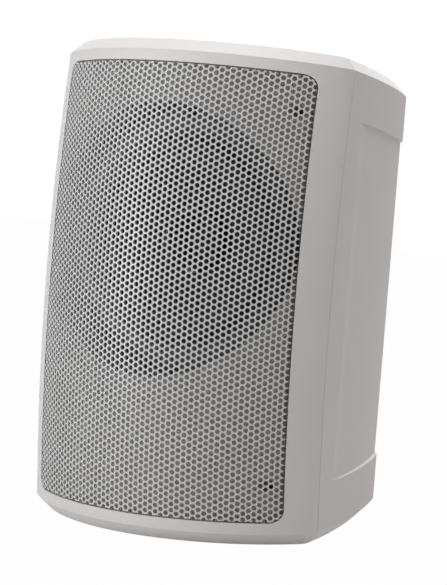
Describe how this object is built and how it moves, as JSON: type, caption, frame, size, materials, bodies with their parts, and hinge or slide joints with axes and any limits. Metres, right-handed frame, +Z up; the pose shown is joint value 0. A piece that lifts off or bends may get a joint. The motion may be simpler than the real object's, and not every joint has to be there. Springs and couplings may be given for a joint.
{
  "type": "surface-mount speaker",
  "caption": "Surface-mount loudspeaker: tapered moulded cabinet, doubly curved perforated grille, coaxial driver, rear terminal recess with tap selector, inserts for bracket or yoke.",
  "frame": {"origin": "centre of the bounding box in plan, on the level pad the speaker stands on", "axes": "+Z up, front and grille towards -Y, +X to the viewer's right seen from the front"},
  "size_m": [0.1806, 0.176, 0.274],
  "materials": {
    "cabinet_plastic": "fine moulded grain, satin",
    "grille_paint": "satin powder coat",
    "joint_seal": "matt, light grey",
    "gasket_foam": "matt closed-cell foam",
    "basket_paint": "black satin paint",
    "cone_paper": "black pressed fibre",
    "surround_rubber": "matt",
    "spider_cloth": "resin-stiffened weave",
    "winding": "lacquered copper wire",
    "motor_steel": "zinc plated",
    "ferrite": "ground, dark grey",
    "dome_cloth": "coated weave",
    "black_plastic": "satin",
    "insert_brass": "turned",
    "terminal_plastic": "satin",
    "screw_steel": "zinc plated",
    "black_screw": "black oxide",
    "board": "solder resist",
    "lamination": "varnished laminations",
    "coil_wrap": "insulating wrap",
    "capacitor_case": "dipped film",
    "wadding": "loose fibre"
  },
  "bodies": {
    "cabinet_body": {"front_baffle": "cabinet_plastic", "rear_cabinet": "cabinet_plastic", "baffle_gasket": "joint_seal", "grille": "grille_paint", "baffle_screws": "black_screw", "driver_basket": "basket_paint", "driver_gasket": "gasket_foam", "driver_screws": "black_screw", "surround": "surround_rubber", "spider": "spider_cloth", "top_plate": "motor_steel", "magnet": "ferrite", "pole_yoke": "motor_steel", "tweeter_motor": "motor_steel", "tweeter_dome": "dome_cloth", "tweeter_waveguide": "black_plastic", "driver_terminals": "black_plastic", "bracket_inserts": "insert_brass", "yoke_inserts": "insert_brass", "terminal_panel": "black_plastic", "panel_gasket": "gasket_foam", "panel_screws": "screw_steel", "tap_switch": "black_plastic", "terminal_header": "terminal_plastic", "terminal_plug": "terminal_plastic", "terminal_screws": "screw_steel", "crossover_board": "board", "board_screws": "screw_steel", "transformer_core": "lamination", "transformer_coil": "coil_wrap", "crossover_inductors": "winding", "crossover_capacitors": "capacitor_case", "damping_pad": "wadding"},
    "cone_body": {"cone": "cone_paper", "voice_coil": "winding"},
    "selector_body": {"selector_knob": "black_plastic", "selector_shaft": "screw_steel"}
  },
  "joints": [
    {"name": "cone_slide", "type": "slide", "parent": "cabinet_body", "child": "cone_body", "axis": [0, 1, 0], "range_m": [-0.003, 0.003], "stiffness_N_per_m": 600, "deforming": ["surround", "spider"]},
    {"name": "tap_selector_turn", "type": "hinge", "parent": "cabinet_body", "child": "selector_body", "pos_m": [-0.022, 0.08, 0.068], "axis": [0, 1, 0], "range_deg": [-135, 135]}
  ]
}
